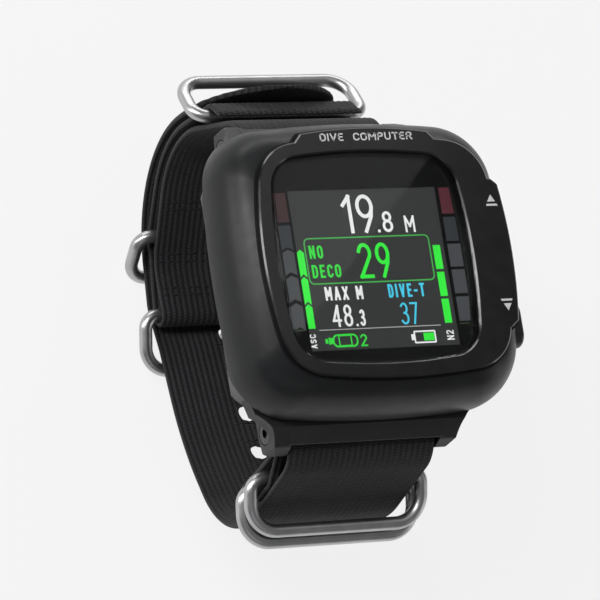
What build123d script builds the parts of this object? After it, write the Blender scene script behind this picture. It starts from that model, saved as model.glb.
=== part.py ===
"""Wrist dive computer on a five-ring webbing strap, closed into its wearing loop.

Frame, in mm: the origin is the centre of the flat case back, +Z points out of the display,
+Y towards 12 o'clock and +X towards the button side.
"""
import os
from math import asin, atan2, cos, degrees, hypot, pi, radians, sin

from build123d import *

os.makedirs("parts", exist_ok=True)

# ---------------------------------------------------------------- driving dimensions
strap_width = 38.0
strap_thick = 1.4
strap_gap = 0.1

case_split_z = 11.0
case_face_z = 25.2
bezel_top_z = 27.0
case_left, case_right, case_bottom, case_top = -35.1, 39.4, -33.9, 36.3
face_left, face_right, face_bottom, face_top = -28.7, 34.0, -27.5, 30.0
tub_left, tub_right, tub_end = -33.4, 37.6, 30.6
tub_rim_z = 9.0
wall = 2.4

glass_left, glass_right, glass_bottom, glass_top = -24.9, 25.1, -23.8, 26.3
screen_width, screen_height, screen_y = 38.4, 38.0, -1.1

lug_inner, lug_outer = 19.4, 23.4
bar_y, bar_z, bar_radius = 33.8, 3.7, 1.5
screw_head_radius = 2.65

wire_radius = 1.6
ring_half_width = 22.4
keeper_pitch = 12.6
buckle_pitch = 13.6

# sewn bar and the direction of the free bar, both in the side plane (Y, Z)
keeper_top_bar, keeper_top_angle = (46.5, -9.4), -33.0
keeper_back_bar, keeper_back_angle = (28.5, -49.5), 233.0
buckle_bar, buckle_angle = (9.5, -52.5), 197.6
ring_front_bar, ring_front_angle = (-41.5, -9.4), 199.5
ring_rear_bar, ring_rear_angle = (-42.9, -14.9), 194.0

hole_radius = 2.2
hole_pitch = 10.5
tail_centre, tail_radius = (20.0, -25.5), 31.4
tail_end_z = -2.6

button_ys = {"button_up": 12.0, "button_down": -14.5}
button_z = 18.0
button_boss_x = 32.3
button_floor_x = 34.9
button_tip_x = 39.0
button_base_x = 36.2


# ---------------------------------------------------------------- shared outlines
def bulged_outline(left, right, bottom, top, bulge_x, bulge_y, corner, right_corner):
    """Rounded rectangle whose four sides are shallow outward arcs."""
    mid_x = (left + right) / 2
    mid_y = (bottom + top) / 2
    x0, x1 = left + bulge_x, right - bulge_x
    y0, y1 = bottom + bulge_y, top - bulge_y
    with BuildSketch() as outline:
        with BuildLine():
            ThreePointArc((x0, y0), (mid_x, bottom), (x1, y0))
            ThreePointArc((x1, y0), (right, mid_y), (x1, y1))
            ThreePointArc((x1, y1), (mid_x, top), (x0, y1))
            ThreePointArc((x0, y1), (left, mid_y), (x0, y0))
        make_face()
        fillet(outline.vertices().filter_by(lambda v: v.X < mid_x), corner)
        fillet(outline.vertices().filter_by(lambda v: v.X > right - bulge_x - 0.1), right_corner)
    return outline.sketch


def case_outline(inset):
    return bulged_outline(
        case_left + inset,
        case_right - inset,
        case_bottom + inset,
        case_top - inset,
        2.8,
        2.4,
        13.0 - inset * 0.6,
        15.0 - inset * 0.6,
    )


def face_outline(grow):
    return bulged_outline(
        face_left - grow,
        face_right + grow,
        face_bottom - grow,
        face_top + grow,
        3.6,
        2.4,
        11.0 + grow * 0.5,
        11.0 + grow * 0.5,
    )


def glass_outline(grow):
    return bulged_outline(
        glass_left - grow,
        glass_right + grow,
        glass_bottom - grow,
        glass_top + grow,
        2.2,
        1.8,
        8.0 + grow,
        8.0 + grow,
    )


def tub_outline(inset):
    with BuildSketch() as outline:
        with Locations(((tub_left + tub_right) / 2, 0)):
            RectangleRounded(tub_right - tub_left - 2 * inset, 2 * (tub_end - inset), 12.0 - inset)
    return outline.sketch


def top_tab_outline(grow):
    """The raised tongue of the face plate at 12 o'clock."""
    with BuildSketch() as outline:
        with BuildLine():
            Polyline((-17.4 - grow, 24), (-16.8 - grow, 28.4 + grow), (-14.6 - grow, 30.9 + grow))
            ThreePointArc((-14.6 - grow, 30.9 + grow), (1.9, 32.1 + grow), (18.4 + grow, 30.9 + grow))
            Polyline((18.4 + grow, 30.9 + grow), (20.6 + grow, 28.4 + grow), (21.2 + grow, 24), (-17.4 - grow, 24))
        make_face()
        fillet(outline.vertices().filter_by(lambda v: v.Y > 27), 0.8)
    return outline.sketch


def side_tab_outline(grow):
    """The tongue beside the two buttons."""
    with BuildSketch() as outline:
        with BuildLine():
            Polyline((27, 19.4 + grow), (33.2 + grow, 19.0 + grow), (34.8 + grow, 17.6 + grow))
            ThreePointArc((34.8 + grow, 17.6 + grow), (35.9 + grow, 0.9), (34.6 + grow, -15.4 - grow))
            Polyline((34.6 + grow, -15.4 - grow), (32.6 + grow, -17.0 - grow), (27, -17.2 - grow), (27, 19.4 + grow))
        make_face()
        fillet(outline.vertices().filter_by(lambda v: v.X > 30), 0.8)
    return outline.sketch


# ---------------------------------------------------------------- webbing paths
def webbing_face(start, bends, end, thickness):
    """Closed side profile of a strap that runs taut round a chain of bends.

    Each bend is (y, z, radius, turn) with turn +1 for left and -1 for right; the radius is the centre line's.
    """
    stops = [(start[0], start[1], 0.0, 1)] + bends + [(end[0], end[1], 0.0, 1)]
    normals = []
    for (ay, az, ar, at), (by, bz, br, bt) in zip(stops, stops[1:]):
        gap = hypot(by - ay, bz - az)
        heading = atan2(bz - az, by - ay)
        tilt = (bt * br - at * ar) / gap
        angle = heading + pi / 2 - asin(tilt)
        normals.append((cos(angle), sin(angle)))

    def side(offset):
        edges = []
        last = (start[0] + normals[0][0] * offset, start[1] + normals[0][1] * offset)
        for (y, z, radius, turn), n_in, n_out in zip(bends, normals, normals[1:]):
            reach = offset - turn * radius
            first = (y + n_in[0] * reach, z + n_in[1] * reach)
            then = (y + n_out[0] * reach, z + n_out[1] * reach)
            sweep = (atan2(n_out[1], n_out[0]) - atan2(n_in[1], n_in[0])) % (2 * pi)
            if turn < 0:
                sweep -= 2 * pi
            half = atan2(n_in[1], n_in[0]) + sweep / 2
            middle = (y + cos(half) * reach, z + sin(half) * reach)
            edges.append((last, first))
            edges.append((first, middle, then))
            last = then
        tail = (end[0] + normals[-1][0] * offset, end[1] + normals[-1][1] * offset)
        edges.append((last, tail))
        return edges

    left = side(thickness / 2)
    right = side(-thickness / 2)
    with BuildSketch() as profile:
        with BuildLine():
            for points in left + right:
                if len(points) == 2:
                    Line(*points)
                else:
                    ThreePointArc(*points)
            Line(left[0][0], right[0][0])
            Line(left[-1][-1], right[-1][-1])
        make_face()
    return profile.sketch


pocket = wire_radius + strap_gap + strap_thick / 2
bar_wrap = bar_radius + strap_gap + strap_thick / 2
corner_wrap = 2.2
corner = (tub_end - 1.4, 1.35)
crown_top = (34.2, -2.3, 8.0)
crown_bottom = (-34.9, -2.3, 8.3)

# ---------------------------------------------------------------- long strap
long_bends = [
    (keeper_top_bar[0], keeper_top_bar[1], pocket, -1),
    (23.0, -24.0, 26.0, -1),
    (keeper_back_bar[0], keeper_back_bar[1], pocket, -1),
    (buckle_bar[0], buckle_bar[1], pocket, -1),
    (19.0, -38.6, 12.0, 1),
    (keeper_back_bar[0], keeper_back_bar[1], pocket, -1),
    (23.6, -22.2, 22.9, 1),
    (crown_top[0], crown_top[1], crown_top[2], 1),
    (bar_y, bar_z, bar_wrap, 1),
    (corner[0], corner[1], corner_wrap, -1),
    (-corner[0], corner[1], corner_wrap, -1),
    (-bar_y, bar_z, bar_wrap, 1),
    (crown_bottom[0], crown_bottom[1], crown_bottom[2], 1),
    (-27.3, -23.5, 21.9, 1),
    (3.0, 26.2, 80.0, 1),
    (-1.5, -66.5, 12.0, -1),
    (13.0, -47.8, 10.0, 1),
    (tail_centre[0], tail_centre[1], tail_radius, 1),
]
long_profile = webbing_face((44.9, -3.6), long_bends, (51.5, tail_end_z), strap_thick)
with BuildPart() as long_strap:
    with BuildSketch(Plane.YZ):
        add(long_profile)
    extrude(amount=strap_width / 2, both=True)
    # rounded tip of the free tail
    with BuildSketch(Plane((0, 50.4, 0), x_dir=(1, 0, 0), z_dir=(0, 1, 0))):
        with Locations((0, -tail_end_z)):
            Rectangle(strap_width + 2, strap_width)
        with Locations((0, -tail_end_z + strap_width / 2)):
            Circle(strap_width / 2, mode=Mode.SUBTRACT)
            Rectangle(strap_width + 4, strap_width, align=(Align.CENTER, Align.MIN), mode=Mode.SUBTRACT)
    extrude(amount=3.0, mode=Mode.SUBTRACT)
    # punched holes on the straight run, the buckle and under the back keeper
    for step in range(-3, 3):
        hole_y = 4.4 + step * hole_pitch
        skin_z = -54.9 if hole_y < 10 else -56.2
        if hole_y > 20:
            skin_z = -54.6
        if hole_y < 0:
            skin_z = -46.0
        with BuildSketch(Plane.XY.offset(skin_z)):
            with Locations((0, hole_y)):
                Circle(hole_radius)
        extrude(amount=-16, mode=Mode.SUBTRACT)
    # punched holes on the rising run of the tail
    for step in range(1, 4):
        lean = radians(-80 + degrees(hole_pitch / tail_radius) * step)
        outward = (0, cos(lean), sin(lean))
        start_r = tail_radius - strap_thick / 2 - 0.2
        spot = (0, tail_centre[0] + cos(lean) * start_r, tail_centre[1] + sin(lean) * start_r)
        with BuildSketch(Plane(spot, x_dir=(1, 0, 0), z_dir=outward)):
            Circle(hole_radius)
        extrude(amount=3.0, mode=Mode.SUBTRACT)
    # slot for the prong's eye where the strap folds round the buckle bar
    with BuildSketch(Plane.XY.offset(-55.65)):
        with Locations((0, 8.3)):
            Rectangle(6.4, 8.2)
    extrude(amount=6.5, mode=Mode.SUBTRACT)

# ---------------------------------------------------------------- short strap
nest = corner_wrap + strap_thick + 0.1
short_bends = [
    (-corner[0], corner[1], nest, -1),
    (-34.7, -4.3, 4.0, 1),
    (ring_front_bar[0], ring_front_bar[1], pocket, 1),
    (ring_rear_bar[0], ring_rear_bar[1], pocket, 1),
    (-42.3, -20.6, 1.5, 1),
    (-30.9, -12.0, 8.0, -1),
]
short_profile = webbing_face((26.0, corner[1] - nest), short_bends, (-36.7, -2.6), strap_thick)
with BuildPart() as short_strap:
    with BuildSketch(Plane.YZ):
        add(short_profile)
    extrude(amount=strap_width / 2, both=True)

# ---------------------------------------------------------------- rings
def wire_ring(bar, angle, pitch, free_corner):
    """Loop of round wire with a sewn bar and a free bar, both along X; the free corners are rounder."""
    with BuildPart() as ring:
        plane = Plane((0, bar[0], bar[1]), x_dir=(1, 0, 0), z_dir=(0, -sin(radians(angle)), cos(radians(angle))))
        with BuildLine(plane) as path:
            FilletPolyline(
                (-ring_half_width, 0),
                (-ring_half_width, pitch),
                (ring_half_width, pitch),
                (ring_half_width, 0),
                radius=[3.4, free_corner, free_corner, 3.4],
                close=True,
            )
        with BuildSketch(Plane(path.line @ 0, z_dir=path.line % 0)):
            Circle(wire_radius)
        sweep()
    return ring


keeper_ring_top = wire_ring(keeper_top_bar, keeper_top_angle, keeper_pitch, 5.8)
keeper_ring_back = wire_ring(keeper_back_bar, keeper_back_angle, keeper_pitch, 5.0)
buckle_ring = wire_ring(buckle_bar, buckle_angle, buckle_pitch, 5.8)
lower_ring_front = wire_ring(ring_front_bar, ring_front_angle, keeper_pitch, 6.8)
lower_ring_rear = wire_ring(ring_rear_bar, ring_rear_angle, keeper_pitch, 6.8)

# prong: a flat tongue rolled round the buckle bar, through the strap and onto the free bar
with BuildPart() as buckle_prong:
    with BuildSketch(Plane.YZ):
        with Locations(buckle_bar):
            Circle(wire_radius + 1.45)
        with BuildLine():
            Polyline(
                (buckle_bar[0] - 0.6, buckle_bar[1] - 2.7),
                (6.8, -54.6),
                (5.15, -55.4),
                (4.8, -58.1),
                (-3.4, -60.2),
                (-6.2, -60.2),
                (-6.2, -58.8),
                (-3.2, -58.6),
                (2.9, -57.2),
                (4.5, -54.6),
                (6.9, -52.6),
                (buckle_bar[0] - 0.6, buckle_bar[1] - 2.7),
            )
        make_face()
        with Locations(buckle_bar):
            Circle(wire_radius + 0.08, mode=Mode.SUBTRACT)
    extrude(amount=1.3, both=True)
    fillet(buckle_prong.edges().filter_by(lambda e: e.center().Y < -5.5), 0.5)

# ---------------------------------------------------------------- rear case with lugs
def apron_profile(points, radius):
    with BuildSketch() as outline:
        with BuildLine():
            Polyline(*points, close=True)
        make_face()
        fillet(outline.vertices().filter_by(lambda v: v.X < -36.5), radius)
    return outline.sketch


def add_lugs():
    """The 6 o'clock pair of lugs with the hood between them, mirrored to 12 o'clock."""
    hood_points = ((-28, 11), (-34.2, 11), (-38.0, 8.0), (-37.5, 7.3), (-30.2, 7.5), (-28, 5))
    side_points = ((-27, 11), (-34.2, 11), (-38.2, 7.7), (-39.6, 4.4), (-38.6, 1.2), (-33.8, 0.2), (-27, 0.2))
    with BuildPart() as hood:
        with BuildSketch(Plane.YZ):
            add(apron_profile(hood_points, 0.35))
        extrude(amount=lug_inner + 1, both=True)
    with BuildPart() as lug:
        with BuildSketch():
            with BuildLine():
                Polyline(
                    (lug_outer + 0.3, -24),
                    (lug_inner, -24),
                    (lug_inner, -39.6),
                    (22.2, -39.6),
                    (lug_outer + 0.3, -38.2),
                    close=True,
                )
            make_face()
        extrude(amount=11)
        # shoulder that flares out under the rim of the front case
        with BuildSketch(Plane.XY.offset(7.4)):
            with BuildLine():
                Line((lug_outer - 1, -24), (lug_outer - 1, -38.2))
                Line((lug_outer - 1, -38.2), (lug_outer + 0.3, -38.2))
                ThreePointArc((lug_outer + 0.3, -38.2), (lug_outer + 1.6, -34.4), (29.0, -30.9))
                Line((29.0, -30.9), (31.0, -24))
                Line((31.0, -24), (lug_outer - 1, -24))
            make_face()
        extrude(amount=3.6)
        with BuildSketch(Plane.YZ):
            add(apron_profile(side_points, 1.5))
        extrude(amount=40, mode=Mode.INTERSECT)
    for plane in (None, Plane.XZ):
        pair = [hood.part, lug.part, mirror(lug.part, about=Plane.YZ)]
        for piece in pair:
            add(piece if plane is None else mirror(piece, about=plane))


cavity_floor = 4.6
with BuildPart() as rear_case:
    with BuildSketch(Plane.XY.offset(tub_rim_z)):
        add(tub_outline(0))
    extrude(amount=case_split_z - tub_rim_z)
    # below the rim the tub narrows towards the wrist, apart from the block that carries the strap
    with BuildSketch():
        add(tub_outline(3.0))
    with BuildSketch(Plane.XY.offset(tub_rim_z)):
        add(tub_outline(0))
    loft()
    with BuildSketch():
        Rectangle(2 * lug_outer + 0.6, 2 * tub_end)
    extrude(amount=case_split_z)
    add_lugs()
    # rounded end corners that the strap runs round
    for sign in (1, -1):
        with BuildSketch(Plane.YZ):
            with Locations((sign * tub_end, 0)):
                Rectangle(3.0, 3.0)
            with Locations((sign * (tub_end - 1.5), 1.5)):
                Circle(1.5, mode=Mode.SUBTRACT)
                Rectangle(3.1, 3.1, align=(Align.CENTER, Align.MIN), mode=Mode.SUBTRACT)
                Rectangle(
                    3.1, 3.1, align=(Align.MAX if sign > 0 else Align.MIN, Align.CENTER), mode=Mode.SUBTRACT
                )
        extrude(amount=20.5, both=True, mode=Mode.SUBTRACT)
    # both long flanks lean inwards towards the wrist
    with BuildSketch(Plane.XZ):
        for flank in (
            [(-40, -1), (-28.9, -1), (-28.9, 0), (-33.5, 9.2), (-40, 9.2)],
            [(44, -1), (35.4, -1), (35.4, 0), (37.7, 9.2), (44, 9.2)],
        ):
            with BuildLine():
                Polyline(*flank, close=True)
            make_face()
    extrude(amount=50, both=True, mode=Mode.SUBTRACT)
    # cavity for the electronics, then the battery well
    with BuildSketch(Plane.XY.offset(cavity_floor)):
        add(tub_outline(wall + 1.4))
    extrude(amount=20, mode=Mode.SUBTRACT)
    with BuildSketch(Plane.XY.offset(1.7)):
        RectangleRounded(44, 36, 4)
    extrude(amount=5, mode=Mode.SUBTRACT)
    with BuildSketch():
        RectangleRounded(50, 42, 6)
    extrude(amount=1.7, mode=Mode.SUBTRACT)
    # groove for the case seal on the split face
    with BuildSketch(Plane.XY.offset(case_split_z)):
        add(tub_outline(1.35))
        add(tub_outline(2.65), mode=Mode.SUBTRACT)
    extrude(amount=-1.0, mode=Mode.SUBTRACT)
    # seat for the strap bars, clearance for their screw heads, and the relief beside each
    for sign in (1, -1):
        with BuildSketch(Plane.YZ.offset(-40)):
            with Locations((sign * bar_y, bar_z)):
                Circle(bar_radius + 0.03)
        extrude(amount=80, mode=Mode.SUBTRACT)
        for side in (1, -1):
            with BuildSketch(Plane.YZ.offset(side * 21.6)):
                with Locations((sign * bar_y, bar_z)):
                    Circle(screw_head_radius + 0.2)
            extrude(amount=side * 15, mode=Mode.SUBTRACT)
    # battery lid screw pilots
    with BuildSketch(Plane.XY.offset(1.7)):
        with GridLocations(44, 36, 2, 2):
            Circle(0.78)
    extrude(amount=2.4, mode=Mode.SUBTRACT)
    # sensor port chamber beside the strap, and the two charging contacts
    with BuildSketch():
        with Locations((29.5, 0)):
            Circle(4.8)
    extrude(amount=1.4, mode=Mode.SUBTRACT)
    with BuildSketch():
        with Locations((29.5, 0)):
            Circle(2.6)
    extrude(amount=6, mode=Mode.SUBTRACT)
    with BuildSketch():
        with Locations((-26.9, 5), (-26.9, -5)):
            Circle(1.62)
    extrude(amount=6, mode=Mode.SUBTRACT)

# ---------------------------------------------------------------- front case
with BuildPart() as front_case:
    with BuildSketch(Plane.XY.offset(case_split_z)):
        add(case_outline(0))
    with BuildSketch(Plane.XY.offset(17.5)):
        add(case_outline(0.6))
    with BuildSketch(Plane.XY.offset(22.0)):
        add(case_outline(2.5))
    with BuildSketch(Plane.XY.offset(case_face_z)):
        add(face_outline(0.5))
    loft()
    chamfer(front_case.faces().sort_by(Axis.Z)[0].edges(), 0.7)
    for tab in (top_tab_outline(0.5), side_tab_outline(0.5)):
        with BuildSketch(Plane.XY.offset(18.0)):
            add(tab)
        extrude(amount=case_face_z - 18.0)
    # hollow below the display deck
    with BuildSketch(Plane.XY.offset(case_split_z)):
        add(tub_outline(wall + 1.4))
    extrude(amount=10.2, mode=Mode.SUBTRACT)
    # glass seat and display window through the deck
    with BuildSketch(Plane.XY.offset(23.3)):
        add(glass_outline(1.45))
    extrude(amount=4, mode=Mode.SUBTRACT)
    with BuildSketch(Plane.XY.offset(20)):
        with Locations((0, screen_y)):
            Rectangle(screen_width + 1.6, screen_height + 1.6)
    extrude(amount=6, mode=Mode.SUBTRACT)
    # button pockets, stem bores and seal seats in the right wall
    for y in button_ys.values():
        # boss inside the wall, with the flat that the retaining clip stops on
        with BuildSketch(Plane.YZ.offset(button_boss_x)):
            with Locations((y, button_z - 0.3)):
                Rectangle(12.0, 8.4)
        extrude(amount=3.0)
        with BuildSketch(Plane.YZ.offset(button_floor_x)):
            with Locations((y, button_z)):
                SlotOverall(11.8, 7.2)
        extrude(amount=8, mode=Mode.SUBTRACT)
        with BuildSketch(Plane.YZ.offset(button_boss_x - 1)):
            with Locations((y, button_z)):
                Circle(1.56)
        extrude(amount=6, mode=Mode.SUBTRACT)
        with BuildSketch(Plane.YZ.offset(button_boss_x)):
            with Locations((y, button_z)):
                Circle(2.56)
        extrude(amount=1.1, mode=Mode.SUBTRACT)

# ---------------------------------------------------------------- bezel, glass and display
with BuildPart() as bezel:
    with BuildSketch(Plane.XY.offset(case_face_z)):
        add(face_outline(0))
        add(top_tab_outline(0))
        add(side_tab_outline(0))
        add(glass_outline(0.15), mode=Mode.SUBTRACT)
    extrude(amount=bezel_top_z - case_face_z)
    chamfer(bezel.faces().sort_by(Axis.Z)[-1].edges(), 0.35)
    with BuildSketch(Plane.XY.offset(case_face_z)):
        add(glass_outline(1.5))
    extrude(amount=0.8, mode=Mode.SUBTRACT)

with BuildPart() as lens:
    with BuildSketch(Plane.XY.offset(24.4)):
        add(glass_outline(1.3))
    extrude(amount=1.5)
    with BuildSketch(Plane.XY.offset(25.9)):
        add(glass_outline(0))
    extrude(amount=0.8)
    chamfer(lens.faces().sort_by(Axis.Z)[-1].edges(), 0.3)

with BuildPart() as lens_mask:
    with BuildSketch(Plane.XY.offset(24.1)):
        add(glass_outline(1.2))
        with Locations((0, screen_y)):
            Rectangle(screen_width, screen_height, mode=Mode.SUBTRACT)
    extrude(amount=0.2)

with BuildPart() as lens_gasket:
    with BuildSketch(Plane.XY.offset(23.3)):
        add(glass_outline(1.3))
        add(glass_outline(0.1), mode=Mode.SUBTRACT)
        with Locations((0, screen_y)):
            Rectangle(screen_width + 1.8, screen_height + 1.8, mode=Mode.SUBTRACT)
    extrude(amount=0.8)

with BuildPart() as display_panel:
    with BuildSketch(Plane.XY.offset(22.4)):
        with Locations((0, screen_y)):
            Rectangle(screen_width + 1.2, screen_height + 1.2)
    extrude(amount=1.6)

with BuildPart() as display_frame:
    with BuildSketch(Plane.XY.offset(18.9)):
        with Locations((0, screen_y)):
            Rectangle(46, 44)
    extrude(amount=2.2)
    with BuildSketch(Plane.XY.offset(21.1)):
        with Locations((0, screen_y)):
            Rectangle(screen_width + 1.2, screen_height + 1.2)
    extrude(amount=1.3)
    with BuildSketch(Plane.XY.offset(18.9)):
        with Locations((0, screen_y)):
            Rectangle(33, 32)
    extrude(amount=4, mode=Mode.SUBTRACT)

with BuildPart() as circuit_board:
    with BuildSketch(Plane.XY.offset(15.2)):
        with Locations((-1.5, -1.0)):
            RectangleRounded(54, 46, 3)
    extrude(amount=1.2)
    with BuildSketch(Plane.XY.offset(16.4)):
        with Locations((-14, 8)):
            Rectangle(10, 10)
        with Locations((4, 10)):
            Rectangle(7, 7)
        with GridLocations(5, 4, 4, 2):
            Rectangle(2.0, 1.2)
        with Locations((12, -14)):
            Rectangle(12, 3.4)
    extrude(amount=1.4)
    with BuildSketch(Plane.XY.offset(15.2)):
        with Locations((-14, -12)):
            Rectangle(6, 8)
        with Locations((18, -16)):
            Rectangle(4, 4)
    extrude(amount=-1.2)

with BuildPart() as battery_cell:
    with BuildSketch(Plane.XY.offset(2.6)):
        RectangleRounded(41, 33, 3)
    extrude(amount=7.0)
    fillet(battery_cell.edges().filter_by(GeomType.CIRCLE), 0.8)

with BuildPart() as battery_carrier:
    with BuildSketch(Plane.XY.offset(4.7)):
        RectangleRounded(51, 46, 5)
        RectangleRounded(41.4, 33.4, 3.2, mode=Mode.SUBTRACT)
    extrude(amount=2.0)
    with BuildSketch(Plane.XY.offset(6.7)):
        RectangleRounded(45, 37, 4)
        RectangleRounded(41.4, 33.4, 3.2, mode=Mode.SUBTRACT)
    extrude(amount=5.0)
    with BuildSketch(Plane.XY.offset(6.7)):
        with GridLocations(46, 41, 2, 2):
            Circle(1.8)
    extrude(amount=8.4)

with BuildPart() as buzzer:
    with BuildSketch(Plane.XY.offset(11.9)):
        with Locations((-6, 2)):
            Circle(9.0)
    extrude(amount=0.6)
    with BuildSketch(Plane.XY.offset(12.5)):
        with Locations((-6, 2)):
            Circle(6.0)
    extrude(amount=0.4)

with BuildPart() as pressure_sensor:
    with BuildSketch(Plane.XY.offset(4.7)):
        with Locations((29.5, 0)):
            Circle(3.6)
    extrude(amount=3.0)
    with BuildSketch(Plane.XY.offset(7.7)):
        with Locations((29.5, 0)):
            Circle(2.4)
    extrude(amount=0.8)

with BuildPart() as sensor_port_cover:
    with BuildSketch(Plane.XY.offset(0.2)):
        with Locations((29.5, 0)):
            Circle(4.7)
            with PolarLocations(2.0, 5):
                Circle(0.6, mode=Mode.SUBTRACT)
            Circle(0.6, mode=Mode.SUBTRACT)
    extrude(amount=1.1)

with BuildPart() as case_seal:
    with BuildSketch(Plane.XY.offset(case_split_z - 1.0)):
        add(tub_outline(1.45))
        add(tub_outline(2.55), mode=Mode.SUBTRACT)
    extrude(amount=0.95)

with BuildPart() as back_cover:
    with BuildSketch():
        RectangleRounded(49.6, 41.6, 5.8)
    extrude(amount=1.6)
    with BuildSketch(Plane.XY.offset(1.6)):
        RectangleRounded(43.2, 35.2, 3.6)
        RectangleRounded(38, 30, 3, mode=Mode.SUBTRACT)
    extrude(amount=0.9)
    for radius, depth in ((1.8, 0.9), (0.95, 3.0)):
        with BuildSketch():
            with GridLocations(44, 36, 2, 2):
                Circle(radius)
        extrude(amount=depth, mode=Mode.SUBTRACT)

with BuildPart() as back_cover_seal:
    with BuildSketch(Plane.XY.offset(1.75)):
        RectangleRounded(43.9, 35.9, 3.95)
        RectangleRounded(43.3, 35.3, 3.65, mode=Mode.SUBTRACT)
    extrude(amount=0.8)

with BuildPart() as back_cover_screws:
    with BuildSketch(Plane.XY.offset(0.05)):
        with GridLocations(44, 36, 2, 2):
            Circle(1.65)
    extrude(amount=0.8)
    with BuildSketch(Plane.XY.offset(0.85)):
        with GridLocations(44, 36, 2, 2):
            Circle(0.76)
    extrude(amount=3.0)
    with BuildSketch(Plane.XY.offset(0.05)):
        with GridLocations(44, 36, 2, 2):
            Rectangle(2.2, 0.45)
            Rectangle(0.45, 2.2)
    extrude(amount=0.5, mode=Mode.SUBTRACT)

with BuildPart() as charge_contacts:
    with BuildSketch(Plane.XY.offset(0.15)):
        with Locations((-26.9, 5), (-26.9, -5)):
            Circle(1.6)
    extrude(amount=4.4)
    with BuildSketch(Plane.XY.offset(4.55)):
        with Locations((-26.9, 5), (-26.9, -5)):
            Circle(0.6)
    extrude(amount=2.2)

# ---------------------------------------------------------------- buttons
def button(y):
    with BuildPart() as cap:
        with BuildSketch(Plane.YZ.offset(button_base_x)):
            with Locations((y, button_z)):
                SlotOverall(11.0, 6.4)
        extrude(amount=button_tip_x - button_base_x)
        fillet(cap.faces().sort_by(Axis.X)[-1].edges(), 1.1)
        with BuildSketch(Plane.YZ.offset(button_boss_x - 1.7)):
            with Locations((y, button_z)):
                Circle(1.5)
        extrude(amount=5.8)
        # groove for the retaining clip
        with BuildSketch(Plane.YZ.offset(button_boss_x - 0.6)):
            with Locations((y, button_z)):
                Circle(1.6)
                Circle(1.1, mode=Mode.SUBTRACT)
        extrude(amount=0.5, mode=Mode.SUBTRACT)
    return cap


def button_clip(y):
    with BuildPart() as clip:
        with BuildSketch(Plane.YZ.offset(button_boss_x - 0.55)):
            with Locations((y, button_z)):
                Circle(2.9)
                Circle(1.12, mode=Mode.SUBTRACT)
            with Locations((y - 2, button_z)):
                Rectangle(3, 1.5, mode=Mode.SUBTRACT)
        extrude(amount=0.4)
    return clip


def button_seal(y):
    with BuildPart() as seal:
        with BuildSketch(Plane.XZ.offset(-y)):
            with Locations((button_boss_x + 0.55, button_z + 2.04)):
                Circle(0.5)
        revolve(axis=Axis((0, y, button_z), (1, 0, 0)))
    return seal


def button_spring(y):
    with BuildPart() as spring:
        with BuildLine():
            coil = Helix(0.35, 1.0, 2.2, center=(button_floor_x + 0.15, y, button_z), direction=(1, 0, 0))
        with BuildSketch(Plane(coil @ 0, z_dir=coil % 0)):
            Circle(0.12)
        sweep(is_frenet=True)
    return spring


buttons = {name: button(y) for name, y in button_ys.items()}
clips = {name: button_clip(y) for name, y in button_ys.items()}
seals = {name: button_seal(y) for name, y in button_ys.items()}
springs = {name: button_spring(y) for name, y in button_ys.items()}

with BuildPart() as button_switches:
    for y in button_ys.values():
        with BuildSketch(Plane.YZ.offset(button_boss_x - 5.7)):
            with Locations((y, button_z)):
                Rectangle(6, 4.4)
        extrude(amount=2.4)
        with BuildSketch(Plane.YZ.offset(button_boss_x - 3.3)):
            with Locations((y, button_z)):
                Circle(1.2)
        extrude(amount=0.6)

# ---------------------------------------------------------------- strap bars and their screws
def lug_bar(y):
    with BuildPart() as bar:
        with BuildSketch(Plane.YZ.offset(-21.55)):
            with Locations((y, bar_z)):
                Circle(bar_radius)
                Circle(0.9, mode=Mode.SUBTRACT)
        extrude(amount=43.1)
    return bar


lug_bar_top = lug_bar(bar_y)
lug_bar_bottom = lug_bar(-bar_y)

with BuildPart() as lug_screws:
    for y in (bar_y, -bar_y):
        for side in (1, -1):
            with BuildSketch(Plane.YZ.offset(side * 21.65)):
                with Locations((y, bar_z)):
                    Circle(screw_head_radius)
            extrude(amount=side * 2.0)
            with BuildSketch(Plane.YZ.offset(side * 13.0)):
                with Locations((y, bar_z)):
                    Circle(0.88)
            extrude(amount=side * 8.7)
            with BuildSketch(Plane.YZ.offset(side * 23.65)):
                with Locations((y, bar_z)):
                    RegularPolygon(1.25, 6)
            extrude(amount=-side * 1.4, mode=Mode.SUBTRACT)

# ---------------------------------------------------------------- export
pieces = {
    "rear_case": rear_case,
    "front_case": front_case,
    "case_seal": case_seal,
    "bezel": bezel,
    "lens": lens,
    "lens_mask": lens_mask,
    "lens_gasket": lens_gasket,
    "display_panel": display_panel,
    "display_frame": display_frame,
    "circuit_board": circuit_board,
    "battery_cell": battery_cell,
    "battery_carrier": battery_carrier,
    "buzzer": buzzer,
    "pressure_sensor": pressure_sensor,
    "sensor_port_cover": sensor_port_cover,
    "back_cover": back_cover,
    "back_cover_seal": back_cover_seal,
    "back_cover_screws": back_cover_screws,
    "charge_contacts": charge_contacts,
    "button_switches": button_switches,
    "lug_bar_top": lug_bar_top,
    "lug_bar_bottom": lug_bar_bottom,
    "lug_screws": lug_screws,
    "long_strap": long_strap,
    "short_strap": short_strap,
    "keeper_ring_top": keeper_ring_top,
    "keeper_ring_back": keeper_ring_back,
    "buckle_ring": buckle_ring,
    "buckle_prong": buckle_prong,
    "lower_ring_front": lower_ring_front,
    "lower_ring_rear": lower_ring_rear,
}
for name in button_ys:
    pieces[name] = buttons[name]
    pieces[name + "_clip"] = clips[name]
    pieces[name + "_seal"] = seals[name]
    pieces[name + "_spring"] = springs[name]

for name, piece in pieces.items():
    piece.part.label = name
    export_step(piece.part, f"parts/{name}.step")
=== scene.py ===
"""Visual model of the wrist dive computer, in metres, in the frame of its CAD model.

+Z points out of the display, +Y towards 12 o'clock, +X towards the buttons. Shape helpers take mm.
"""

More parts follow.
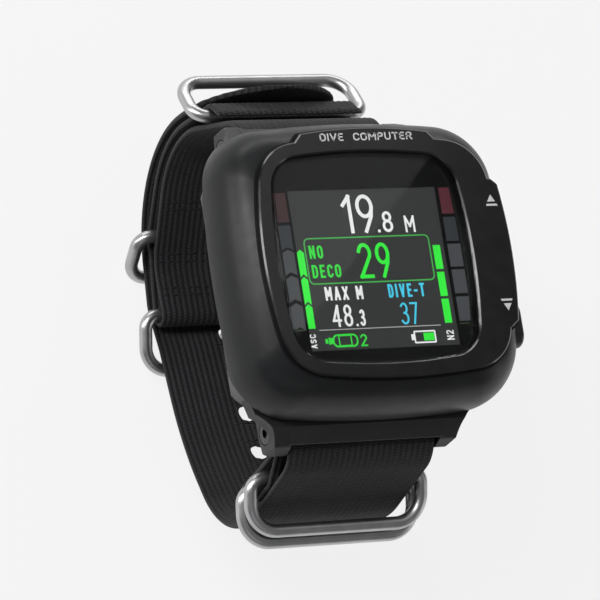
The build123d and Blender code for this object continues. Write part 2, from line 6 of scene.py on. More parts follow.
from math import asin, atan2, ceil, cos, hypot, pi, radians, sin, sqrt

import bpy
from mathutils import Matrix, Vector


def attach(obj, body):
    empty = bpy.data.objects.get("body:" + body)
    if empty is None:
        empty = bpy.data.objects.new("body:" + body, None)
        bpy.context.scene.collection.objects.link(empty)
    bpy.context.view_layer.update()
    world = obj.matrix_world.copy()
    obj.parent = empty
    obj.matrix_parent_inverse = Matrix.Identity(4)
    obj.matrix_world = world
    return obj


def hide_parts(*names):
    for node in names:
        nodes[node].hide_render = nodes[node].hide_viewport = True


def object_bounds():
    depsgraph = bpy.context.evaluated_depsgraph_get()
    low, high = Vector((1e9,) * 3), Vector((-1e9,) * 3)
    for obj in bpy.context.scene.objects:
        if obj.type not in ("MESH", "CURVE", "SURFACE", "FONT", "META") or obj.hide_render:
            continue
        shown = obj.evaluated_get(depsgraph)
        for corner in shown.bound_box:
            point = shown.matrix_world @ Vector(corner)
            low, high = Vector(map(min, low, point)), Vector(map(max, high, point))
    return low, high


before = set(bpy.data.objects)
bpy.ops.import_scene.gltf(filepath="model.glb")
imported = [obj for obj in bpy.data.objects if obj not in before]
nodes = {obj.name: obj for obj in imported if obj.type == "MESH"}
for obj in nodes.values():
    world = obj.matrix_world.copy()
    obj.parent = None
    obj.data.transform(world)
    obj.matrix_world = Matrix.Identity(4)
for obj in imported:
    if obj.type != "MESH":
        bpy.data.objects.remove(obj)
cad_low, cad_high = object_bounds()
MM = 0.001


# ---------------------------------------------------------------- materials
def new_material(name):
    made = bpy.data.materials.new(name)
    made.use_nodes = True
    return made, made.node_tree, made.node_tree.nodes["Principled BSDF"]


def add_node(tree, kind, **settings):
    node = tree.nodes.new(kind)
    for key, value in settings.items():
        if key in node.inputs:
            node.inputs[key].default_value = value
        else:
            setattr(node, key, value)
    return node


def noise(tree, coords, scale, detail=3.0, roughness=0.55):
    node = add_node(tree, "ShaderNodeTexNoise", Scale=scale, Detail=detail, Roughness=roughness)
    tree.links.new(coords, node.inputs["Vector"])
    return node.outputs["Fac"]


def spread(tree, value, low, high, start=0.3, end=0.7):
    node = add_node(tree, "ShaderNodeMapRange")
    node.inputs["From Min"].default_value = start
    node.inputs["From Max"].default_value = end
    node.inputs["To Min"].default_value = low
    node.inputs["To Max"].default_value = high
    tree.links.new(value, node.inputs["Value"])
    return node.outputs["Result"]


def tint(tree, value, first, second):
    node = add_node(tree, "ShaderNodeMix", data_type="RGBA")
    node.inputs["A"].default_value = (*first, 1)
    node.inputs["B"].default_value = (*second, 1)
    tree.links.new(value, node.inputs["Factor"])
    return node.outputs["Result"]


def bump(tree, height, distance, strength=1.0, under=None):
    node = add_node(tree, "ShaderNodeBump", Distance=distance, Strength=strength)
    tree.links.new(height, node.inputs["Height"])
    if under is not None:
        tree.links.new(under, node.inputs["Normal"])
    return node.outputs["Normal"]


def multiply(tree, first, second):
    node = add_node(tree, "ShaderNodeMath", operation="MULTIPLY")
    tree.links.new(first, node.inputs[0])
    tree.links.new(second, node.inputs[1])
    return node.outputs["Value"]


def moulded(name, dark, light, rough, grain, grain_scale=2600, coat=0.0, shine=0.5):
    """Moulded plastic or rubber: a fine grained skin with slow changes of tone and gloss."""
    made, tree, skin = new_material(name)
    place = add_node(tree, "ShaderNodeTexCoord").outputs["Object"]
    tone = spread(tree, noise(tree, place, 70, 4), 0, 1)
    tree.links.new(tint(tree, tone, dark, light), skin.inputs["Base Color"])
    gloss = spread(tree, noise(tree, place, 260, 5), rough - 0.05, rough + 0.06)
    tree.links.new(gloss, skin.inputs["Roughness"])
    fine = bump(tree, noise(tree, place, grain_scale, 2), grain * MM)
    tree.links.new(bump(tree, noise(tree, place, 500, 2), grain * 0.5 * MM, 0.5, fine), skin.inputs["Normal"])
    skin.inputs["Specular IOR Level"].default_value = shine
    if coat:
        skin.inputs["Coat Weight"].default_value = coat
        skin.inputs["Coat Roughness"].default_value = 0.06
    return made


def metal(name, dark, light, rough, streaks=(60, 900, 900), depth=0.0012):
    """Brushed or machined metal with fine drawn lines and faint handling marks."""
    made, tree, skin = new_material(name)
    skin.inputs["Metallic"].default_value = 1.0
    place = add_node(tree, "ShaderNodeTexCoord").outputs["Object"]
    stretch = add_node(tree, "ShaderNodeMapping")
    stretch.inputs["Scale"].default_value = streaks
    tree.links.new(place, stretch.inputs["Vector"])
    lines = noise(tree, stretch.outputs["Vector"], 5, 4)
    tone = spread(tree, noise(tree, place, 180, 4), 0, 1)
    tree.links.new(tint(tree, tone, dark, light), skin.inputs["Base Color"])
    tree.links.new(spread(tree, lines, rough - 0.03, rough + 0.05), skin.inputs["Roughness"])
    tree.links.new(bump(tree, lines, depth * MM), skin.inputs["Normal"])
    return made


def woven(name, dark, light, rib=1.5, pick=0.62):
    """Ribbed webbing: the woven picks step along every rib, with fuzz and slow fading. Its colour is darker
    in the valleys between the ribs and between the picks, as painted shade, so the rib tops read lighter.
    """
    made, tree, skin = new_material(name)
    skin.inputs["Roughness"].default_value = 0.82
    skin.inputs["Sheen Weight"].default_value = 0.08
    skin.inputs["Specular IOR Level"].default_value = 0.25
    skin.inputs["Sheen Roughness"].default_value = 0.45
    coords = add_node(tree, "ShaderNodeTexCoord")
    parts = add_node(tree, "ShaderNodeSeparateXYZ")
    tree.links.new(coords.outputs["UV"], parts.inputs["Vector"])
    across, along = parts.outputs["X"], parts.outputs["Y"]

    def wave(source, period, phase=None):
        turn = add_node(tree, "ShaderNodeMath", operation="MULTIPLY_ADD")
        turn.inputs[1].default_value = 2 * pi / (period * MM)
        tree.links.new(source, turn.inputs[0])
        if phase is not None:
            tree.links.new(phase, turn.inputs[2])
        else:
            turn.inputs[2].default_value = 0.0
        node = add_node(tree, "ShaderNodeMath", operation="SINE")
        tree.links.new(turn.outputs["Value"], node.inputs[0])
        return spread(tree, node.outputs["Value"], 0, 1, -1, 1)

    rib_wave = wave(across, rib)
    stagger = spread(tree, wave(across, rib * 2), 0, pi, 0.4, 0.6)
    pick_wave = wave(along, pick, stagger)
    fuzz = noise(tree, coords.outputs["Object"], 3200, 3)
    slow = noise(tree, coords.outputs["Object"], 60, 4)
    # painted shade: the colour darkens between the ribs and between the picks, and the rib tops stay lighter
    painted_rib_shade = multiply(tree, rib_wave, spread(tree, pick_wave, 0.45, 1, 0, 1))
    tone = multiply(tree, spread(tree, slow, 0.55, 1), spread(tree, painted_rib_shade, 0.1, 1, 0, 0.9))
    tree.links.new(tint(tree, tone, dark, light), skin.inputs["Base Color"])
    threads = bump(tree, pick_wave, 0.09 * MM)
    tree.links.new(bump(tree, fuzz, 0.05 * MM, 0.7, threads), skin.inputs["Normal"])
    return made


def lit(name, colour, strength, pixel=0.16):
    """A lit part of the display, with its fine pixel grid and a soft unevenness of the backlight. The printed
    inks beside the screen glow through it too, as painted light on print that the lamps do not reach under
    the glass.
    """
    made, tree, skin = new_material(name)
    skin.inputs["Base Color"].default_value = (0.01, 0.01, 0.01, 1)
    skin.inputs["Roughness"].default_value = 0.35
    place = add_node(tree, "ShaderNodeTexCoord").outputs["Object"]
    grid = add_node(
        tree, "ShaderNodeTexWave", Scale=1 / (pixel * MM) / 20, wave_type="BANDS", bands_direction="X"
    )
    tree.links.new(place, grid.inputs["Vector"])
    glow = multiply(
        tree,
        spread(tree, grid.outputs["Fac"], 0.975, 1.025, 0, 1),
        spread(tree, noise(tree, place, 45, 2), strength * 0.92, strength * 1.08),
    )
    dimmer = tuple(0.85 * c for c in colour)
    level = tint(tree, spread(tree, noise(tree, place, 90, 2), 0, 0.2), colour, dimmer)
    tree.links.new(level, skin.inputs["Emission Color"])
    tree.links.new(glow, skin.inputs["Emission Strength"])
    return made


def clear_glass(name):
    """Display glass; its index is low because the surface is coated against reflections."""
    made, tree, skin = new_material(name)
    skin.inputs["Base Color"].default_value = (0.93, 0.95, 0.95, 1)
    skin.inputs["Transmission Weight"].default_value = 1.0
    skin.inputs["IOR"].default_value = 1.28
    place = add_node(tree, "ShaderNodeTexCoord").outputs["Object"]
    tree.links.new(spread(tree, noise(tree, place, 140, 5), 0.0, 0.035, 0.45, 0.8), skin.inputs["Roughness"])
    return made


case_plastic = moulded(
    "case_plastic", (0.0085, 0.009, 0.0095), (0.012, 0.0125, 0.0135), 0.36, 0.008, shine=0.24
)
rear_plastic = moulded("rear_plastic", (0.010, 0.010, 0.011), (0.014, 0.014, 0.016), 0.46, 0.014, shine=0.4)
face_plastic = moulded("face_plastic", (0.0035, 0.0035, 0.004), (0.006, 0.006, 0.007), 0.22, 0.002, 1500, 0.3)
button_plastic = moulded("button_plastic", (0.012, 0.012, 0.013), (0.018, 0.018, 0.02), 0.38, 0.008)
inner_plastic = moulded("inner_plastic", (0.05, 0.05, 0.055), (0.07, 0.07, 0.075), 0.55, 0.01)
seal_rubber = moulded("seal_rubber", (0.012, 0.012, 0.012), (0.022, 0.022, 0.022), 0.7, 0.01)
border_ink = moulded("border_ink", (0.004, 0.004, 0.004), (0.007, 0.007, 0.007), 0.6, 0.0004, 1500, shine=0.1)
board_mask = moulded("board_mask", (0.01, 0.09, 0.035), (0.02, 0.13, 0.05), 0.35, 0.01, 1200, 0.3)
ring_steel = metal("ring_steel", (0.42, 0.42, 0.425), (0.5, 0.5, 0.505), 0.34)
machined_steel = metal("machined_steel", (0.45, 0.45, 0.46), (0.6, 0.6, 0.6), 0.3)
black_steel = metal("black_steel", (0.05, 0.05, 0.052), (0.09, 0.09, 0.092), 0.36, (900, 900, 60))
cell_can = metal("cell_can", (0.5, 0.5, 0.52), (0.62, 0.62, 0.64), 0.4)
gold = metal("gold", (0.72, 0.52, 0.2), (0.85, 0.64, 0.28), 0.25, (900, 900, 60))
webbing_black = woven("webbing_black", (0.005, 0.005, 0.006), (0.036, 0.036, 0.039))
thread_black = moulded(
    "thread_black", (0.006, 0.006, 0.007), (0.016, 0.016, 0.018), 0.7, 0.02, 5000, shine=0.3
)
glass = clear_glass("glass_clear")
panel_grey = lit("panel_grey", (0.024, 0.024, 0.024), 1.0)
lit_green = lit("lit_green", (0.03, 0.86, 0.045), 1.0)
lit_soft_green = lit("lit_soft_green", (0.03, 0.74, 0.05), 1.0)
lit_outline = lit("lit_outline", (0.05, 0.45, 0.07), 1.0)
lit_white = lit("lit_white", (0.9, 0.9, 0.9), 1.0)
lit_grey = lit("lit_grey", (0.42, 0.42, 0.42), 1.0)
lit_cyan = lit("lit_cyan", (0.06, 0.62, 0.85), 1.0)
# painted light: the printed scale inks below glow like the screen, though print gives no light of its own
ink_red_painted_glow = lit("ink_red_painted_glow", (0.078, 0.007, 0.015), 1.0)
ink_dark_red_painted_glow = lit("ink_dark_red_painted_glow", (0.034, 0.006, 0.008), 1.0)
ink_slate_painted_glow = lit("ink_slate_painted_glow", (0.019, 0.023, 0.028), 1.0)
ink_grey_painted_glow = lit("ink_grey_painted_glow", (0.050, 0.053, 0.058), 1.0)
ink_olive_painted_glow = lit("ink_olive_painted_glow", (0.03, 0.06, 0.02), 1.0)
print_white = moulded("print_white", (0.62, 0.62, 0.62), (0.72, 0.72, 0.72), 0.5, 0.002, 1500)


def finish_node(name, made):
    mesh = nodes[name].data
    mesh.materials.clear()
    mesh.materials.append(made)
    for face in mesh.polygons:
        face.material_index = 0


finishes = {
    case_plastic: ["front_case"],
    rear_plastic: ["rear_case", "back_cover"],
    face_plastic: ["bezel"],
    button_plastic: ["button_up", "button_down"],
    inner_plastic: ["display_frame", "battery_carrier", "sensor_port_cover", "button_switches"],
    seal_rubber: ["case_seal", "lens_gasket", "back_cover_seal", "button_up_seal", "button_down_seal"],
    border_ink: ["lens_mask"],
    board_mask: ["circuit_board"],
    ring_steel: ["buckle_prong"],
    machined_steel: [
        "lug_bar_top", "lug_bar_bottom", "back_cover_screws", "pressure_sensor",
        "button_up_clip", "button_down_clip", "button_up_spring", "button_down_spring",
    ],
    black_steel: ["lug_screws"],
    cell_can: ["battery_cell"],
    gold: ["buzzer", "charge_contacts"],
    glass: ["lens"],
    panel_grey: ["display_panel"],
}
for made, names in finishes.items():
    for name in names:
        finish_node(name, made)


# ---------------------------------------------------------------- mesh helpers
def add_piece(name, points, faces, made, body, uvs=None, smooth=True):
    """A mesh piece from points in mm, riding on a CAD body."""
    mesh = bpy.data.meshes.new(name)
    mesh.from_pydata([(x * MM, y * MM, z * MM) for x, y, z in points], [], faces)
    if uvs:
        layer = mesh.uv_layers.new(name="UVMap")
        for loop in mesh.loops:
            u, v = uvs[loop.vertex_index]
            layer.data[loop.index].uv = (u * MM, v * MM)
    mesh.materials.append(made)
    for face in mesh.polygons:
        face.use_smooth = smooth
    mesh.validate()
    piece = bpy.data.objects.new(name, mesh)
    bpy.context.scene.collection.objects.link(piece)
    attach(piece, body)
    return piece


def bow(cx, cy, rx, ry, start, end, steps=10):
    """Points along part of an ellipse, from one angle to another."""
    turns = [radians(start + (end - start) * k / steps) for k in range(steps + 1)]
    return [(cx + rx * cos(t), cy + ry * sin(t)) for t in turns]


# each letter is a relative width and its strokes in a unit square
GLYPHS = {
    " ": (0.3, []),
    "-": (0.5, [[(0, 0.45), (1, 0.45)]]),
    ".": (0.0, [[(0, 0), (0, 0.002)]]),
    "1": (0.5, [[(0, 0.76), (0.9, 1), (0.9, 0)]]),
    "2": (1, [bow(0.5, 0.74, 0.5, 0.26, 165, -25) + [(0, 0), (1, 0)]]),
    "3": (1, [bow(0.48, 0.765, 0.46, 0.235, 150, -90), bow(0.46, 0.265, 0.54, 0.265, 90, -150)]),
    "4": (1.05, [[(0.74, 0), (0.74, 1), (0, 0.26), (1, 0.26)]]),
    "7": (0.95, [[(0, 1), (1, 1), (0.32, 0)]]),
    "8": (1, [bow(0.5, 0.77, 0.43, 0.23, -90, 270, 20), bow(0.5, 0.27, 0.5, 0.27, 90, 450, 20)]),
    "9": (1, [bow(0.5, 0.71, 0.5, 0.29, -30, 330, 20), [(0.99, 0.66), (0.9, 0.42), (0.42, 0)]]),
    "A": (1.05, [[(0, 0), (0.5, 1), (1, 0)], [(0.2, 0.28), (0.8, 0.28)]]),
    "C": (0.9, [bow(0.55, 0.7, 0.55, 0.3, 25, 180) + bow(0.55, 0.3, 0.55, 0.3, 180, 335)]),
    "D": (
        0.95,
        [
            [(0, 0), (0, 1)]
            + bow(0.45, 0.68, 0.55, 0.32, 90, 0)
            + bow(0.45, 0.32, 0.55, 0.32, 0, -90)
            + [(0, 0)]
        ],
    ),
    "E": (0.75, [[(1, 1), (0, 1), (0, 0), (1, 0)], [(0, 0.52), (0.85, 0.52)]]),
    "I": (0.0, [[(0, 0), (0, 1)]]),
    "M": (1.25, [[(0, 0), (0, 1), (0.5, 0.35), (1, 1), (1, 0)]]),
    "N": (1, [[(0, 0), (0, 1), (1, 0), (1, 1)]]),
    "O": (1, [bow(0.5, 0.7, 0.5, 0.3, 0, 180) + bow(0.5, 0.3, 0.5, 0.3, 180, 360) + [(1, 0.7)]]),
    "P": (0.9, [[(0, 0), (0, 1), (0.5, 1)] + bow(0.5, 0.74, 0.5, 0.26, 90, -90) + [(0, 0.48)]]),
    "R": (
        0.95,
        [
            [(0, 0), (0, 1), (0.5, 1)] + bow(0.5, 0.74, 0.5, 0.26, 90, -90) + [(0, 0.48)],
            [(0.5, 0.48), (1, 0)],
        ],
    ),
    "S": (0.9, [bow(0.5, 0.76, 0.5, 0.24, 30, 250) + bow(0.5, 0.26, 0.5, 0.26, 70, -150)]),
    "T": (0.9, [[(0, 1), (1, 1)], [(0.5, 1), (0.5, 0)]]),
    "U": (0.95, [[(0, 1)] + bow(0.5, 0.3, 0.5, 0.3, 180, 360) + [(1, 1)]]),
    "V": (1.05, [[(0, 1), (0.5, 0), (1, 1)]]),
    "X": (1, [[(0, 0), (1, 1)], [(0, 1), (1, 0)]]),
}


SAME_PLACE = 1e-4
SHARP_CORNER = 0.8
LETTER_GAP = 1.15  # in stroke weights


class Shapes:
    """Collects several flat or extruded shapes that share one piece."""

    def __init__(self):
        self.points = []
        self.faces = []

    def add(self, points, faces):
        base = len(self.points)
        self.points += points
        self.faces += [tuple(base + i for i in face) for face in faces]

    def slab(self, outline, low, high):
        n = len(outline)
        points = [(x, y, low) for x, y in outline] + [(x, y, high) for x, y in outline]
        faces = [tuple(range(n, 2 * n)), tuple(reversed(range(n)))]
        faces += [(i, (i + 1) % n, n + (i + 1) % n, n + i) for i in range(n)]
        self.add(points, faces)

    def frame(self, outer, inner, low, high):
        n = len(outer)
        loops = [(outer, low), (outer, high), (inner, high), (inner, low)]
        points = [(x, y, z) for loop, z in loops for x, y in loop]
        faces = []
        for k in range(4):
            a, b = k * n, (k + 1) % 4 * n
            faces += [(a + i, a + (i + 1) % n, b + (i + 1) % n, b + i) for i in range(n)]
        self.add(points, faces)

    def stroke(self, line, weight, low, high):
        """A bent stroke of even width, squared off half a width beyond each end and at sharp corners."""
        # a repeated point has no direction
        line = line[:1] + [
            here
            for last, here in zip(line, line[1:])
            if hypot(here[0] - last[0], here[1] - last[1]) > SAME_PLACE
        ]
        runs, run = [], [line[0]]
        for before, here, after in zip(line, line[1:], line[2:]):
            run.append(here)
            heading_in = atan2(here[1] - before[1], here[0] - before[0])
            turn = atan2(after[1] - here[1], after[0] - here[0]) - heading_in
            if abs((turn + pi) % (2 * pi) - pi) > SHARP_CORNER:
                runs.append(run)
                run = [here]
        runs.append(run + [line[-1]])
        for run in runs:
            heads = []
            for a, b in zip(run, run[1:]):
                gap = hypot(b[0] - a[0], b[1] - a[1])
                heads.append(((b[0] - a[0]) / gap, (b[1] - a[1]) / gap))
            run[0] = (run[0][0] - heads[0][0] * weight / 2, run[0][1] - heads[0][1] * weight / 2)
            run[-1] = (run[-1][0] + heads[-1][0] * weight / 2, run[-1][1] + heads[-1][1] * weight / 2)
            left, right = [], []
            for k, (x, y) in enumerate(run):
                a, b = heads[max(0, k - 1)], heads[min(len(heads) - 1, k)]
                nx, ny = -(a[1] + b[1]), a[0] + b[0]
                reach = weight / hypot(nx, ny) / hypot(nx, ny)
                left.append((x + nx * reach, y + ny * reach))
                right.append((x - nx * reach, y - ny * reach))
            for k in range(len(run) - 1):
                self.slab([right[k], right[k + 1], left[k + 1], left[k]], low, high)

    def text(self, words, x, y, width, height, weight, low, high, turned=False):
        """Plain condensed lettering that fills a box whose lower left corner is (x, y)."""
        if turned:
            width, height = height, width
        gap = weight * LETTER_GAP
        widths = [GLYPHS[c][0] for c in words]
        unit = (width - gap * (len(words) - 1) - weight * len(words)) / max(sum(widths), 0.01)
        at = 0.0
        for c, share in zip(words, widths):
            for line in GLYPHS[c][1]:
                spots = [
                    (at + weight / 2 + u * share * unit, weight / 2 + v * (height - weight)) for u, v in line
                ]
                if turned:
                    spots = [(height - v, u) for u, v in spots]
                self.stroke([(x + u, y + v) for u, v in spots], weight, low, high)
            at += share * unit + weight + gap

    def piece(self, name, made, slot):
        return add_piece(name, self.points, self.faces, made, "case", smooth=False)


def rounded_box(left, right, bottom, top, radius, steps=8):
    outline = []
    corners = ((right, top, 0), (left, top, 90), (left, bottom, 180), (right, bottom, 270))
    for x, y, start in corners:
        cx = x - radius if x == right else x + radius
        cy = y - radius if y == top else y + radius
        for k in range(steps + 1):
            turn = radians(start + 90 * k / steps)
            outline.append((cx + radius * cos(turn), cy + radius * sin(turn)))
    return outline


# ---------------------------------------------------------------- webbing
STRAP_HALF = 19.0
RIB = 1.5
RIB_VALLEY, RIB_RISE = 0.49, 0.2  # half thickness between the ribs, and what a rib adds
EDGE_ROUND = 0.7
COLUMN = 0.25
HOLE = 2.2
BLOCK = 3.0  # half the square of mesh that each hole is cut from
BLOCK_ROWS, BLOCK_COLUMNS = 16, 24
SEARCH_STEP = 0.1
pocket, bar_wrap, corner_wrap = 2.4, 2.3, 2.2

long_bends = [
    (46.5, -9.4, pocket, -1),
    (23.0, -24.0, 26.0, -1),
    (28.5, -49.5, pocket, -1),
    (9.5, -52.5, pocket, -1),
    (19.0, -38.6, 12.0, 1),
    (28.5, -49.5, pocket, -1),
    (23.6, -22.2, 22.9, 1),
    (34.2, -2.3, 8.0, 1),
    (33.8, 3.7, bar_wrap, 1),
    (29.2, 1.35, corner_wrap, -1),
    (-29.2, 1.35, corner_wrap, -1),
    (-33.8, 3.7, bar_wrap, 1),
    (-34.9, -2.3, 8.3, 1),
    (-27.3, -23.5, 21.9, 1),
    (3.0, 26.2, 80.0, 1),
    (-1.5, -66.5, 12.0, -1),
    (13.0, -47.8, 10.0, 1),
    (20.0, -25.5, 31.4, 1),
]
short_bends = [
    (-29.2, 1.35, 3.7, -1),
    (-34.7, -4.3, 4.0, 1),
    (-41.5, -9.4, pocket, 1),
    (-42.9, -14.9, pocket, 1),
    (-42.3, -20.6, 1.5, 1),
    (-30.9, -12.0, 8.0, -1),
]


def taut_path(start, bends, end):
    """Runs and arcs of a strap's centre line in the side plane.

    Each bend is (y, z, radius, turn). A run is ("run", length, from, to, normal), and an arc is
    ("arc", length, centre, signed radius, first normal, sweep).
    """
    stops = [(*start, 0.0, 1)] + bends + [(*end, 0.0, 1)]
    normals = []
    for (ay, az, ar, at), (by, bz, br, bt) in zip(stops, stops[1:]):
        gap = hypot(by - ay, bz - az)
        tilt = (bt * br - at * ar) / gap
        normals.append(atan2(bz - az, by - ay) + pi / 2 - asin(tilt))
    parts = []
    last = start
    for (y, z, radius, turn), n_in, n_out in zip(bends, normals, normals[1:]):
        sweep = (n_out - n_in) % (2 * pi)
        if turn < 0:
            sweep -= 2 * pi
        first = (y - turn * radius * cos(n_in), z - turn * radius * sin(n_in))
        parts.append(("run", hypot(first[0] - last[0], first[1] - last[1]), last, first, n_in))
        parts.append(("arc", abs(sweep) * radius, (y, z), radius * turn, n_in, sweep))
        last = (y - turn * radius * cos(n_out), z - turn * radius * sin(n_out))
    parts.append(("run", hypot(end[0] - last[0], end[1] - last[1]), last, end, normals[-1]))
    return parts


def place_on(parts, s):
    """The point at a length along a path, and the normal there: y, z, ny, nz."""
    for index, part in enumerate(parts):
        if s <= part[1] or index == len(parts) - 1:
            break
        s -= part[1]
    share = s / part[1]
    if part[0] == "run":
        (ay, az), (by, bz), n = part[2:]
        return ay + (by - ay) * share, az + (bz - az) * share, cos(n), sin(n)
    (y, z), reach, n_in, sweep = part[2:]
    n = n_in + sweep * share
    return y - reach * cos(n), z - reach * sin(n), cos(n), sin(n)


def stations(parts):
    """Lengths along the strap where its surface gets a cross row, closer together round tight bends."""
    found = [0.0]
    for part in parts:
        tight = part[0] == "arc" and abs(part[3]) < 5
        count = max(1, ceil(part[1] / (0.4 if tight else 1.0)))
        base = found[-1]
        found += [base + part[1] * (k + 1) / count for k in range(count)]
    return found


def nearest(parts, y, z, after=0.0):
    """Length along a path, beyond a given length, at which it passes closest to a point."""
    total = sum(part[1] for part in parts)
    steps = int((total - after) / SEARCH_STEP)
    return min(
        (after + k * SEARCH_STEP for k in range(steps)),
        key=lambda s: hypot(place_on(parts, s)[0] - y, place_on(parts, s)[1] - z),
    )


def half_thickness(across, edge):
    """Ribbed half thickness at a place across the strap; edge is the place before any tapering."""
    rib = RIB_VALLEY + RIB_RISE * abs(sin(pi * across / RIB))
    over = max(0.0, (abs(edge) - (STRAP_HALF - EDGE_ROUND)) / EDGE_ROUND)
    return rib * sqrt(max(0.0, 1 - over * over))


def webbing(name, start, bends, end, holes, rounded_tip):
    """Ribbed strap along a taut path, with round holes at the given lengths; replaces its CAD node."""
    parts = taut_path(start, bends, end)
    total = sum(part[1] for part in parts)
    last = total - (0.03 if rounded_tip else 0.0)
    rows = [s for s in stations(parts) if s < last] + [last]
    for hole in holes:
        rows = [s for s in rows if abs(s - hole) > BLOCK + 0.15]
        half_rows = BLOCK_ROWS // 2
        rows += [hole + BLOCK * k / half_rows for k in range(-half_rows, half_rows + 1)]
    rows.sort()
    edges = [-19.0, -18.96, -18.85, -18.65, -18.45]
    columns = edges + [-18.25 + COLUMN * k for k in range(147)] + [-u for u in reversed(edges)]

    points, uvs, faces = [], [], []

    def put(u, s, height, edge=None):
        y, z, ny, nz = place_on(parts, s)
        taper = 1.0
        if rounded_tip and s > total - STRAP_HALF:
            taper = sqrt(max(0.0, 1 - ((s - total + STRAP_HALF) / STRAP_HALF) ** 2))
        across = u * taper
        thick = half_thickness(across, u if edge is None else edge)
        end_gap = min(s, total - s)
        if end_gap < 0.5:
            thick *= sqrt(max(0.02, 1 - (1 - end_gap / 0.5) ** 2))
        points.append((across, y + ny * thick * height, z + nz * thick * height))
        uvs.append((across, s))
        return len(points) - 1

    sides = {}
    for side in (1, -1):
        for i, s in enumerate(rows):
            for j, u in enumerate(columns):
                if side < 0 and j in (0, len(columns) - 1):
                    sides[side, i, j] = sides[1, i, j]
                else:
                    sides[side, i, j] = put(u, s, side)
    blocks = []
    for hole in holes:
        i0 = min(range(len(rows)), key=lambda i: abs(rows[i] - (hole - BLOCK)))
        j0 = min(range(len(columns)), key=lambda j: abs(columns[j] + BLOCK))
        blocks.append((hole, i0, i0 + BLOCK_ROWS, j0, j0 + BLOCK_COLUMNS))

    def inside(i, j):
        return any(i0 <= i < i1 and j0 <= j < j1 for _, i0, i1, j0, j1 in blocks)

    def quad(a, b, c, d, side):
        faces.append((a, b, c, d) if side > 0 else (d, c, b, a))

    for side in (1, -1):
        for i in range(len(rows) - 1):
            for j in range(len(columns) - 1):
                if not inside(i, j):
                    quad(
                        sides[side, i, j], sides[side, i, j + 1],
                        sides[side, i + 1, j + 1], sides[side, i + 1, j], side,
                    )
    for i in (0, len(rows) - 1):
        for j in range(len(columns) - 1):
            facing_out = 1 if i == 0 else -1
            quad(sides[1, i, j], sides[-1, i, j], sides[-1, i, j + 1], sides[1, i, j + 1], facing_out)

    # punched and heat-sealed holes
    for hole, i0, i1, j0, j1 in blocks:
        around = [(i0, j) for j in range(j0, j1)] + [(i, j1) for i in range(i0, i1)]
        around += [(i1, j) for j in range(j1, j0, -1)] + [(i, j0) for i in range(i1, i0, -1)]
        layers = [[sides[1, i, j] for i, j in around]]
        rim = [(0.4, 1.0), (0.75, 1.0), (0.93, 1.08), (1.0, 0.8), (1.04, 0.35), (1.04, -0.35)]
        rim += [(1.0, -0.8), (0.93, -1.08), (0.75, -1.0), (0.4, -1.0)]
        for share, height in rim:
            layer = []
            for i, j in around:
                u, s = columns[j], rows[i] - hole
                turn = atan2(s, u)
                layer.append(
                    put(
                        u + (HOLE * cos(turn) - u) * share,
                        hole + s + (HOLE * sin(turn) - s) * share,
                        height,
                    )
                )
            layers.append(layer)
        layers.append([sides[-1, i, j] for i, j in around])
        n = len(around)
        for outer, inner in zip(layers, layers[1:]):
            for k in range(n):
                quad(outer[k], outer[(k + 1) % n], inner[(k + 1) % n], inner[k], -1)
    piece = add_piece(name, points, faces, webbing_black, "case", uvs)
    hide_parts(name)
    return parts


STITCH_PITCH = 2.15
STITCH_SHAPE = ((-0.95, 0.25), (-0.75, 0.8), (-0.3, 1.0), (0.3, 1.0), (0.75, 0.8), (0.95, 0.25))


def sewn_rows(name, parts, places):
    """Bar-tacked rows of thread across a strap; each place is (length along it, which face)."""
    points, faces = [], []
    for s, side in places:
        for k in range(-8, 9):
            middle = k * STITCH_PITCH
            rings = []
            for offset, girth in STITCH_SHAPE:
                ring = []
                for turn in range(8):
                    angle = 2 * pi * turn / 8
                    y, z, ny, nz = place_on(parts, s + 0.26 * girth * cos(angle))
                    lift = side * (0.62 + 0.2 * girth * sin(angle) - (0.12 if abs(offset) > 0.5 else 0.0))
                    points.append((middle + offset, y + ny * lift, z + nz * lift))
                    ring.append(len(points) - 1)
                rings.append(ring)
            for a, b in zip(rings, rings[1:]):
                faces += [(a[i], a[(i + 1) % 8], b[(i + 1) % 8], b[i]) for i in range(8)]
            faces += [tuple(reversed(rings[0])), tuple(rings[-1])]
    return add_piece(name, points, faces, thread_black, "case")


long_start, long_end = (44.9, -3.6), (51.5, -2.6)
long_parts = taut_path(long_start, long_bends, long_end)
tail_start = nearest(long_parts, -46.0, -14.0, 200)
# six holes on the level run, where only y counts, and three on the rising tail
hole_marks = [(4.4 + 10.5 * k, None) for k in range(-3, 3)]
for lean in (-60.84, -41.68, -22.52):
    hole_marks.append((20 + 31.4 * cos(radians(lean)), -25.5 + 31.4 * sin(radians(lean))))


def miss(s, y, z):
    at_y, at_z = place_on(long_parts, s)[:2]
    return abs(at_y - y) + (0 if z is None else abs(at_z - z))


hole_places = [
    min((tail_start + SEARCH_STEP * k for k in range(2200)), key=lambda s: miss(s, y, z))
    for y, z in hole_marks
]
webbing("long_strap", long_start, long_bends, long_end, hole_places, True)
short_parts = webbing("short_strap", (26.0, -2.35), short_bends, (-36.7, -2.6), [], False)

inner_from = nearest(long_parts, 11.0, -50.1)
long_rows = []
for y, z in ((13.6, -50.2), (15.4, -50.4), (22.2, -50.1), (24.0, -49.4), (33.4, -42.9), (35.0, -41.9)):
    long_rows.append((nearest(long_parts, y, z, inner_from), 1))
for y, z in ((49.0, -15.0), (49.1, -16.8), (33.8, -47.8), (24.0, -52.7), (15.5, -54.0)):
    long_rows.append((nearest(long_parts, y, z), 1))
sewn_rows("long_strap_stitching", long_parts, long_rows)
short_rows = [(nearest(short_parts, y, z), 1) for y, z in ((-44.9, -18.0), (-40.4, -3.4))]
sewn_rows("short_strap_stitching", short_parts, short_rows)


